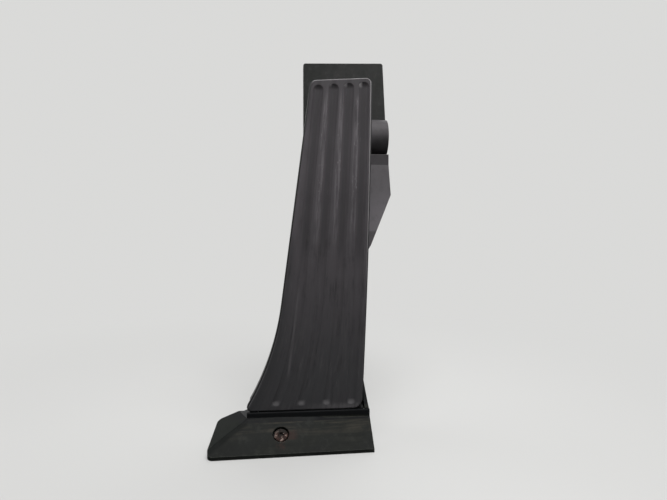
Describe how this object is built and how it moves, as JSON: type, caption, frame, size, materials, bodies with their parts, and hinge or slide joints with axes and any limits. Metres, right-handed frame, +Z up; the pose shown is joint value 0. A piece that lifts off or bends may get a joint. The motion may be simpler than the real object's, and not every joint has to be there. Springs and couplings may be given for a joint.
{
  "type": "accelerator pedal",
  "caption": "Floor-hinged accelerator pedal: fluted rubber tread on a ribbed plate, wedge foot, sloping spine and back plate, with a crank lever, return springs and a position sensor.",
  "frame": {"origin": "where the foot screw's thread leaves its boss under the foot, on the screw's axis", "axes": "upright as in the picture: +X to the driver's right, +Y to the back towards the bulkhead, +Z up along the tread"},
  "size_m": [0.1347, 0.1289, 0.2842],
  "materials": {
    "frame_plastic": "black moulded plastic, satin, dusty",
    "plate_plastic": "black moulded plastic",
    "cover_plastic": "black moulded plastic",
    "lever_plastic": "dark grey moulded plastic",
    "bush_plastic": "natural bearing plastic",
    "tread_rubber": "dark grey rubber, matte, streaked by wear",
    "buffer_rubber": "black rubber",
    "rusty_steel": "rusty steel",
    "steel": "bright steel",
    "zinc_steel": "zinc plated steel",
    "spring_steel": "oiled spring steel",
    "magnet": "plain magnet",
    "board": "green board",
    "chip": "black chip",
    "terminal_brass": "plain terminals"
  },
  "bodies": {
    "frame": {"base_frame": "frame_plastic", "foot_screw": "rusty_steel", "upper_sleeves": "zinc_steel", "hinge_pin": "steel", "axle_bush_left": "bush_plastic", "axle_bush_right": "bush_plastic", "return_spring_left": "spring_steel", "return_spring_right": "spring_steel", "idle_buffer": "buffer_rubber", "full_buffer": "buffer_rubber", "circuit_board": "board", "hall_chips": "chip", "plug_terminals": "terminal_brass", "sensor_cover": "cover_plastic", "cover_seal": "buffer_rubber", "cover_screws": "zinc_steel"},
    "pedal": {"pedal_plate": "plate_plastic", "tread_pad": "tread_rubber"},
    "lever": {"drive_lever": "lever_plastic", "pivot_axle": "steel", "crank_pin": "steel", "glide_left": "bush_plastic", "glide_right": "bush_plastic", "magnet_carrier": "lever_plastic", "sensor_magnet": "magnet"}
  },
  "joints": [
    {"name": "pedal_press", "type": "hinge", "parent": "frame", "child": "pedal", "pos_m": [0.01718, 0.01431, 0.01245], "axis": [-1, 0, 0], "range_deg": [0, 12], "stiffness_Nm_per_rad": 19, "springref_deg": -12.03},
    {"name": "lever_turn", "type": "hinge", "parent": "frame", "child": "lever", "pos_m": [0.04218, 0.09731, 0.21095], "axis": [1, 0, 0], "range_deg": [0, 25.7], "deforming": ["return_spring_left", "return_spring_right"]}
  ],
  "couplings": [
    {"joint": "lever_turn", "follows": "pedal_press", "ratio": 2.14}
  ]
}
